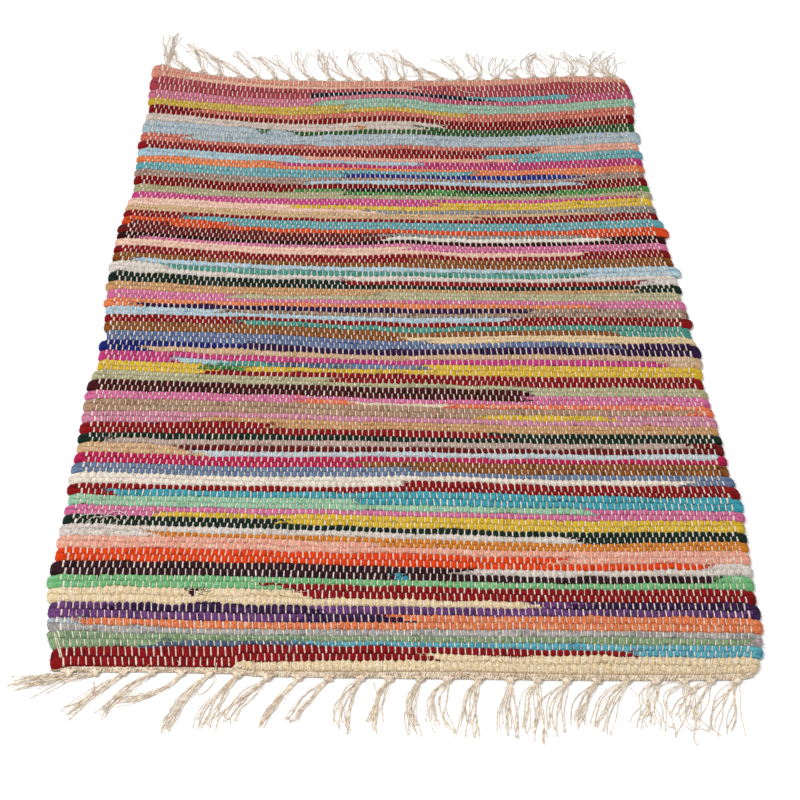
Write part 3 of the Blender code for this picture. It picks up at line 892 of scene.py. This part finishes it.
def picks_of(number):
    """The first and the last pick of one band of the cloth."""
    return number * BAND_PICKS + 1, (number + 1) * BAND_PICKS


def grid_lines(first, last):
    """The v of each grid line from one pick to another, and half the lines for the underside."""
    picks = range(first, last + 1)
    top = [pick + step for pick in picks for step in ROW_STEPS] + [last + 0.5]
    under = [pick + step for pick in picks for step in (-0.5, 0.0)] + [last + 0.5]
    return np.array(top), np.array(under)


def weave_grid(name, columns, lines, level):
    """Flat grid in weave coordinates.  Its z tells the cloth's face from its rim and underside."""
    nothing_selected()
    bpy.ops.mesh.primitive_grid_add(x_subdivisions=columns, y_subdivisions=len(lines) - 1, size=2)
    grid = bpy.context.object
    grid.name = name
    points = points_of(grid.data)
    column = np.round((points[:, 0] + 1) / 2 * columns)
    row = np.round((points[:, 1] + 1) / 2 * (len(lines) - 1)).astype(int)
    points[:, 0] = -LOOP + column * (FLOATS + 2 * LOOP) / columns
    points[:, 1] = lines[row]
    points[:, 2] = level
    set_points(grid.data, points)
    return grid


def rim_selected():
    bpy.ops.object.mode_set(mode="EDIT")
    bpy.ops.mesh.select_mode(type="EDGE")
    bpy.ops.mesh.select_all(action="DESELECT")
    bpy.ops.mesh.select_non_manifold(extend=False, use_wire=False, use_boundary=True,
                                     use_multi_face=False, use_non_contiguous=False, use_verts=False)


def woven_band(number, finishes):
    """One band of the cloth: its woven face and underside, closed round the rim."""
    first, last = picks_of(number)
    top_lines, under_lines = grid_lines(first, last)
    columns = int(COLUMNS_PER_FLOAT * (FLOATS + 2 * LOOP))
    name = "weave_band_%d" % (number + 1)
    top = weave_grid(name, columns, top_lines, FACE)
    chosen(top)
    rim_selected()
    bpy.ops.mesh.extrude_region_move()
    bpy.ops.object.mode_set(mode="OBJECT")
    points = points_of(top.data)
    points[(columns + 1) * len(top_lines):, 2] = RIM
    set_points(top.data, points)

    under = weave_grid("underside", columns // 2, under_lines, UNDERSIDE)
    chosen(under)
    rim_selected()
    bpy.ops.mesh.subdivide(number_cuts=1, ngon=True)
    bpy.ops.mesh.select_all(action="SELECT")
    bpy.ops.mesh.flip_normals()
    bpy.ops.object.mode_set(mode="OBJECT")
    points = points_of(under.data)
    w, v, _ = points.T
    on_rim = ((w < -LOOP + 1e-3) | (w > FLOATS + LOOP - 1e-3)
              | (v < first - 0.5 + 1e-3) | (v > last + 0.5 - 1e-3))
    # the rim's new points sit halfway between grid lines: put them on the face's own lines
    pick, r = pick_of(v)
    halfway = on_rim & (np.abs(np.abs(r) - 0.25) < 0.01)
    points[:, 1] = np.where(halfway, pick + ROW_STEPS[3] * np.sign(r), v)
    points[on_rim, 2] = RIM
    set_points(under.data, points)

    band = joined(name, top, under)
    bpy.ops.object.mode_set(mode="EDIT")
    bpy.ops.mesh.select_all(action="SELECT")
    bpy.ops.mesh.remove_doubles(threshold=0.002)
    bpy.ops.object.mode_set(mode="OBJECT")

    w, v, level = points_of(band.data).T
    name_weave(band.data, w, v)
    x, y = lay(w, v)
    pick, r = pick_of(v)
    floats_down = within(0.5 - 0.5 * swing(pick, w))
    under_z = UNDER_HOLLOW * (1 - within(1 - np.abs(2 * r)) * floats_down)
    z = np.where(level == FACE, top_height(w, v, x, y), np.where(level == RIM, MIDDLE, under_z))
    set_points(band.data, np.stack([x, y, z], 1) * MM)
    dress_cloth(band.data, finishes)
    bpy.ops.object.shade_smooth()
    return band


def name_weave(mesh, w, v):
    """Weave coordinates as the mesh's UV map, for the patterns that follow the rag."""
    corners = read_all(mesh.loops, "vertex_index", kind=int)
    while mesh.uv_layers:
        mesh.uv_layers.remove(mesh.uv_layers[0])
    layer = mesh.uv_layers.new(name="weave")
    layer.data.foreach_set("uv", np.stack([w, v], 1)[corners].astype(np.float32).ravel())


def dress_cloth(mesh, finishes):
    """Give each face of a band the finish of the rag that covers it."""
    corners = read_all(mesh.loops, "vertex_index", kind=int)
    starts = read_all(mesh.polygons, "loop_start", kind=int)
    totals = read_all(mesh.polygons, "loop_total", kind=int)
    uv = read_all(mesh.uv_layers["weave"].data, "uv", 2).reshape(-1, 2)
    v = np.add.reduceat(uv[:, 1], starts) / totals
    x = np.add.reduceat(points_of(mesh)[corners, 0], starts) / totals / MM
    pick, r = pick_of(v)
    cloth = np.array([RAGS[k][0] for k in rag_at(pick, x, r)])
    used = sorted(set(cloth))
    for name in used:
        mesh.materials.append(finishes[name])
    index = {name: k for k, name in enumerate(used)}
    mesh.polygons.foreach_set("material_index", np.array([index[name] for name in cloth]))


def warp_floats(number, finish):
    """The cotton warps where they cross over the rags of one band: short plump dashes."""
    first, last = picks_of(number)
    halves = []
    for odd in (1, 0):
        start = first if first % 2 == odd else first + 1
        nothing_selected()
        bpy.ops.mesh.primitive_cylinder_add(vertices=4, radius=1.0, depth=DASH_LENGTH,
                                            end_fill_type="TRIFAN", rotation=(math.pi / 2, 0, 0))
        dash = bpy.context.object
        bpy.ops.object.transform_apply(location=False, rotation=True, scale=False)
        points = points_of(dash.data)
        tips = np.abs(points[:, 0]) + np.abs(points[:, 2]) < 0.01
        points[tips, 1] *= DASH_TIPS
        points[~tips, 0] *= DASH_WIDTH
        points[:, 2] = np.where(tips, DASH_TIPS_SINK, points[:, 2] * DASH_THICK)
        points += (0.0 if odd else 0.5, start, 0.0)
        set_points(dash.data, points)
        for axis, count, step in ((0, FLOATS + odd, 1.0), (1, (last - start) // 2 + 1, 2.0)):
            row = dash.modifiers.new("row", "ARRAY")
            row.use_relative_offset = False
            row.use_constant_offset = True
            row.constant_offset_displace = [step if k == axis else 0.0 for k in range(3)]
            row.count = count
        for row in list(dash.modifiers):
            chosen(dash)
            bpy.ops.object.modifier_apply(modifier=row.name)
        halves.append(dash)
    floats = joined("warp_floats_%d" % (number + 1), *halves)
    points = points_of(floats.data)
    centre = points.reshape(-1, DASH_POINTS, 3).mean(1)
    group = np.arange(len(points)) // DASH_POINTS
    dice = np.random.default_rng(50 + number)
    wider, aside, leaning, longer = dice.normal(0, 1, (len(centre), 4))[group].T
    w, v, z = points.T
    cw, cv = centre[group, 0], centre[group, 1]
    cx, cy = lay(cw, cv, widen=False)
    fluff = FLUFF[rag_at(pick_of(cv)[0], cx, np.zeros(len(cx)))]
    outer = (cw < 0.6) | (cw > FLOATS - 0.6)
    w = (cw + (w - cw) * (1 + 0.15 * wider - 0.10 * fluff + 0.7 * outer) + 0.02 * aside
         + 0.06 * leaning * (v - cv))
    v = cv + (v - cv) * (1 - 0.08 * fluff + 0.08 * longer)
    x, y = lay(w, v, widen=False)
    near, far = cloth_ends(x)
    height = DASH_TOP + 0.12 * longer + z
    height = np.where(np.minimum(cy - near, far - cy) < 2.0, np.minimum(height, DASH_TOP_AT_ENDS + z), height)
    name_weave(floats.data, w, v)
    set_points(floats.data, np.stack([x, y, height], 1) * MM)
    floats.data.materials.append(finish)
    bpy.ops.object.shade_smooth()
    return floats


# ------------------------------------------------------------------ cords
def cords(name, runs, finish):
    """Many cords as one mesh.  A run is its points and its radii, all in millimetres."""
    nothing_selected()
    data = bpy.data.curves.new(name, "CURVE")
    data.dimensions = "3D"
    data.bevel_depth = 1.0 * MM
    data.bevel_resolution = 0
    data.use_fill_caps = True
    for points, radii in runs:
        spline = data.splines.new("POLY")
        spline.points.add(len(points) - 1)
        full = np.ones((len(points), 4))
        full[:, :3] = np.asarray(points) * MM
        spline.points.foreach_set("co", full.ravel())
        spline.points.foreach_set("radius", np.broadcast_to(radii, len(points)).astype(float))
    piece = bpy.data.objects.new(name, data)
    bpy.context.scene.collection.objects.link(piece)
    chosen(piece)
    bpy.ops.object.convert(target="MESH")
    piece = bpy.context.object
    piece.data.materials.clear()
    piece.data.materials.append(finish)
    bpy.ops.object.shade_smooth()
    return piece


def end_line(side, x):
    return np.interp(x, END_LINES[:, 0], END_LINES[:, 1 if side < 0 else 4])


def heading(side, finish):
    """The twined heading: pairs of cotton cords laid round each other, and threads across them."""
    pairs, thick, low, rise, crossings, hairs = TWINING[side]
    step = 0.75
    x = np.arange(-290.0, 294.0, step)
    outer = end_line(side, x)
    inner = cloth_ends(x)[0 if side < 0 else 1] + side * 0.2
    dice = np.random.default_rng(30 + side)
    runs = []
    for pair in pairs:
        y = outer + (inner - outer) * pair + np.interp(x, x[::12], dice.normal(0, 0.25, len(x[::12])))
        uneven = np.interp(x, x[::40], dice.normal(0, 0.2, len(x[::40])))
        phase = np.cumsum(1 + uneven) * step * 2 * math.pi / CORD_LAY
        for strand in (0, 1):
            turn = phase + math.pi * strand + 2 * pair
            z = low + rise * pair + thick * np.sin(turn)
            runs.append((np.stack([x, y + 1.1 * thick * np.cos(turn), z], 1), 0.95 * thick))
    t = np.linspace(0, 1, 5)
    for number, at in enumerate(np.arange(-288.5, 292.0, 1.5)[:crossings]):
        at = at + dice.normal(0, 0.3)
        edge = end_line(side, at) + side * 0.7
        cloth = cloth_ends(at)[0]
        runs.append((np.stack([at + dice.normal(1.8, 0.5) * (t - 0.5), edge + (cloth - edge) * t,
                               0.8 + (3.4 + dice.normal(0, 0.15)) * t ** 0.5], 1),
                     dice.uniform(0.6, 0.8) if number % 2 else dice.uniform(0.25, 0.4)))
    for _ in range(hairs):
        at = dice.uniform(-290, 288)
        way = np.array([dice.normal(0, 3.0), side * dice.uniform(0.5, 2.6)])
        middle = end_line(side, at) - side * dice.uniform(0.3, 4.0)
        runs.append((np.stack([at + way[0] * t + dice.normal(0, 0.8) * t ** 2, middle + way[1] * t,
                               3.4 + 0.9 * np.sin(t * 3) - 1.2 * t], 1), HAIR))
    return cords("heading_near" if side < 0 else "heading_far", runs, finish)


def tassel_runs(side, tassel, seed):
    """Loose ends of one tassel and the fine fibres that their cut tips open into."""
    knot_x, lean, reach, fan, bend, curl = tassel
    dice = np.random.default_rng(seed)
    base = math.atan2(lean, reach)
    length = math.hypot(lean, reach) * (1 + 0.04 * bend * bend)
    root = end_line(side, knot_x)
    runs = []
    strands, thick = LOOSE_ENDS[side]
    t = np.linspace(0, 1, 19)
    for strand in range(strands):
        place = (2 * strand - strands + 1) / (strands - 1)
        long = length * dice.uniform(0.80, 1.06)
        heading_to = (base + fan * place * dice.uniform(0.6, 1.2) * (1 - 1.1 * t) + bend * (t - 0.5)
                      + curl * dice.normal() * (t - 0.35) ** 2 * 1.3
                      + 0.30 * curl ** 0.5 * np.sin(t * dice.uniform(5, 11) + dice.uniform(0, 6)))
        step = long / (len(t) - 1)
        x = knot_x + 0.8 * place + np.concatenate([[0], np.cumsum(np.sin(heading_to[:-1]) * step)])
        out = 3.2 + np.concatenate([[0], np.cumsum(np.cos(heading_to[:-1]) * step)])
        y = root + side * np.maximum(out, 2.5)
        lift = 1.8 * dice.uniform(0, 1) * np.exp(-((t - dice.uniform(0.2, 0.9)) / 0.2) ** 2)
        points = np.column_stack([x, y, 0.5 + 1.9 * np.exp(-t * 7) + lift])
        radii = np.full(len(t), thick * dice.uniform(0.85, 1.15)) * (1 + 0.12 * np.sin(40 * t + strand))
        radii[-2:] *= (0.8, 0.5)
        runs.append((points, radii))
        s = np.linspace(0, 1, 5)
        for _ in range(2):
            angle = heading_to[-1] + dice.normal(0, 0.5)
            ahead = s * dice.uniform(3, 7)
            turned = dice.normal(0, 1.2) * s ** 2
            split = np.column_stack([x[-2] + np.sin(angle) * ahead + np.cos(angle) * turned,
                                     y[-2] + side * (np.cos(angle) * ahead - np.sin(angle) * turned),
                                     0.45 + 0.3 * s])
            runs.append((split, 0.55 * thick * (1 - 0.6 * s)))
    return runs


def knots(side, tassels, finish):
    """The overhand knots: a small lump, the warps that run into it and the turn that closes it."""
    name, size = ("knots_near", 1.0) if side < 0 else ("knots_far", 0.85)
    dice = np.random.default_rng(5)
    lumps, runs = [], []
    for knot_x, lean, reach, *_ in tassels:
        nothing_selected()
        bpy.ops.mesh.primitive_uv_sphere_add(segments=16, ring_count=10, radius=1.0)
        lump = bpy.context.object
        points = points_of(lump.data)
        angle = np.arctan2(points[:, 2], points[:, 0])
        points *= (1 + 0.13 * np.sin(3 * angle + 3.6 * points[:, 1] + dice.uniform(0, 6)))[:, None]
        points *= np.array(KNOT_HALVES) * size * dice.uniform(0.9, 1.1)
        turn = dice.normal(0, 0.2) + side * 0.8 * math.atan2(lean, reach) * -1
        middle = np.array((knot_x, end_line(side, knot_x) + side * 2.6, 2.5))
        points = rotated(points, turn) + middle
        points[:, 2] = np.maximum(points[:, 2], 0.05)
        set_points(lump.data, points * MM)
        lump.data.materials.append(finish)
        lumps.append(lump)
        t = np.linspace(0, 1, 6)
        for place in (-1, -0.6, -0.2, 0.2, 0.6, 1):
            start = np.array((knot_x + place * dice.uniform(6.0, 8.0),
                              end_line(side, knot_x + 6 * place) - side * 1.0, 2.0))
            end = middle + (1.6 * place, 0, 0.4)
            arch = np.outer(np.sin(math.pi * t), (0, 0, 0.3))
            runs.append((start + (end - start) * t[:, None] + arch, 0.8 * size))
        t = np.linspace(0, 1, 32)
        turn += 0.5 * dice.normal()
        around = 2 * math.pi * 2.4 * t + dice.uniform(0, 6)
        coil = np.stack([3.1 * np.cos(around), 3.2 * (t - 0.5), 2.1 * np.sin(around)], 1) * size
        coil = rotated(coil, turn) + middle
        coil[:, 2] = np.maximum(coil[:, 2], 0.9)
        runs.append((coil, 0.6 * size))
    piece = joined(name, *lumps, cords(name, runs, finish))
    bpy.ops.object.shade_smooth()
    return piece


def eased(places):
    """Runs of thread that pass smoothly through the given places."""
    runs = []
    for points in places:
        points = np.array(points, float)
        fine = np.linspace(0, len(points) - 1, 6 * len(points))
        at = np.arange(len(points), dtype=float)
        runs.append((np.stack([curve(fine, at, points[:, k]) for k in range(3)], 1), 0.4))
    return runs


def fibre(dice, start, angle, reach, arch):
    """One loose fibre, from its start, that arches over what it lies on."""
    t = np.linspace(0, 1, 4)
    way = angle + dice.normal(0, 0.5) * t
    return np.stack([start[0] + np.cos(way) * reach * t, start[1] + np.sin(way) * reach * t,
                     start[2] + arch * np.sin(math.pi * t)], 1), HAIR


def frays(finishes):
    """Loose fibres: at the torn ends of the rags, along the fluffy ones and round the selvedge loops."""
    dice = np.random.default_rng(70)
    runs = {}

    def grow(name, start, angle, reach, arch):
        runs.setdefault(name, []).append(fibre(dice, start, angle, reach, arch))

    for name, pick, x, _ in [rag for rag in RAGS if abs(rag[2]) < 300 and rag[3] > 0]:
        ahead = 0.0 if pick % 2 else math.pi
        y = float(pick_y(np.array([float(pick)]), np.array([float(x)]))[0])
        for _ in range(6):
            start = (x + dice.normal(0, 3.0), y + dice.normal(0, 1.5), FIBRE_START)
            grow(name, start, ahead + dice.normal(0, 0.7), dice.uniform(3, 8), 0.7)
    pick = dice.integers(1, PICKS + 1, 8000).astype(float)
    x = dice.uniform(-296, 296, len(pick))
    rag = rag_at(pick, x, 0 * pick)
    y = pick_y(pick, x) + dice.uniform(-3, 3, len(pick))
    for k in np.flatnonzero(FLUFF[rag] > dice.uniform(0.45, 1.3, len(pick))):
        grow(RAGS[rag[k]][0], (x[k], y[k], FIBRE_START), dice.uniform(0, 6.3), dice.uniform(2, 6), 0.7)
    for side in (-1, 1):
        turn = np.arange(2.5 if side < 0 else 1.5, PICKS, 2.0).repeat(2)
        x, y = lay(np.full(len(turn), -LOOP if side < 0 else FLOATS + LOOP), turn)
        rag = rag_at(np.floor(turn), x, 0 * turn)
        for k in range(len(turn)):
            start = (x[k] - side * 0.6, y[k] + dice.normal(0, 2.5), dice.uniform(2.5, 5))
            angle = (math.pi if side < 0 else 0) + dice.normal(0, 0.8)
            grow(RAGS[rag[k]][0], start, angle, dice.uniform(0.8, 2.4), 0.4)
    piece = joined("rag_frays", *[cords("fray", runs[name], finishes[name]) for name in sorted(runs)])
    name_weave(piece.data, *np.zeros((2, len(piece.data.vertices))))
    return piece


def fringe(side, tassels, finish):
    """The loose ends of all the tassels of one end, and the stray threads."""
    runs = eased(STRAYS[side])
    for number, tassel in enumerate(tassels):
        runs += tassel_runs(side, tassel, 100 * (2 + side) + number)
    return cords("tassels_near" if side < 0 else "tassels_far", runs, finish)


# ------------------------------------------------------------------ the rug
finishes = {name: rag_finish(name) for name in CLOTHS}
warp_cotton = cotton_finish("warp_cotton", WARP_COLOUR)
near_cotton = cotton_finish("near_fringe_cotton", NEAR_FRINGE_COLOUR)
far_cotton = cotton_finish("far_fringe_cotton", FAR_FRINGE_COLOUR)

bands = [woven_band(number, finishes) for number in range(PICKS // BAND_PICKS)]
floats = [warp_floats(number, warp_cotton) for number in range(PICKS // BAND_PICKS)]
pulled = cords("pulled_threads", eased(PULLED), finishes["pale_grey"])
name_weave(pulled.data, *np.zeros((2, len(pulled.data.vertices))))
frayed = frays(finishes)
for pieces, slot in ((bands + [pulled, frayed], "rag_weave"), (floats, "warp_cotton")):
    for piece in pieces:
        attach(piece, "root")
        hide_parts("woven_cloth")

for side, tassels, cotton, node in ((-1, NEAR_TASSELS, near_cotton, "fringe_near"),
                                    (1, FAR_TASSELS, far_cotton, "fringe_far")):
    for piece in (heading(side, cotton), knots(side, tassels, cotton), fringe(side, tassels, cotton)):
        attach(piece, "root")
        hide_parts(node)

# ------------------------------------------------------------------ floor, light and camera
nothing_selected()
bpy.ops.mesh.primitive_plane_add(size=12.0, location=(0, 0, -0.0005))
floor = bpy.context.object
floor.name = "studio_floor"
floor_paint = Finish("floor_paint")
floor_paint.feed(floor_paint.shader, {"Base Color": (0.94, 0.94, 0.94, 1.0)})
floor.data.materials.append(floor_paint.material)

world = bpy.data.worlds.new("studio")
bpy.context.scene.world = world
world.use_nodes = True
sky = world.node_tree.nodes["Background"]
sky.inputs["Color"].default_value = (1.0, 1.0, 1.0, 1.0)
sky.inputs["Strength"].default_value = 0.62

for name, place, power, size in (("key", (-1.2, -0.6, 2.4), 52.0, 1.2), ("fill", (1.6, 1.4, 2.2), 12.0, 2.0)):
    lamp = bpy.data.lights.new(name, "AREA")
    lamp.energy = power
    lamp.size = size
    holder = bpy.data.objects.new(name, lamp)
    bpy.context.scene.collection.objects.link(holder)
    holder.location = place
    holder.rotation_euler = (-Vector(place)).to_track_quat("-Z", "Y").to_euler()

lens = bpy.data.cameras.new("view")
lens.sensor_width = 36.0
lens.lens = CAMERA_LENS
camera = bpy.data.objects.new("view", lens)
bpy.context.scene.collection.objects.link(camera)
placed = Matrix.Translation(CAMERA_PLACE)
for axis, degrees in CAMERA_TURNS:
    placed = placed @ Matrix.Rotation(math.radians(degrees), 4, axis)
camera.matrix_world = placed
bpy.context.scene.camera = camera
bpy.context.scene.view_settings.view_transform = "Standard"
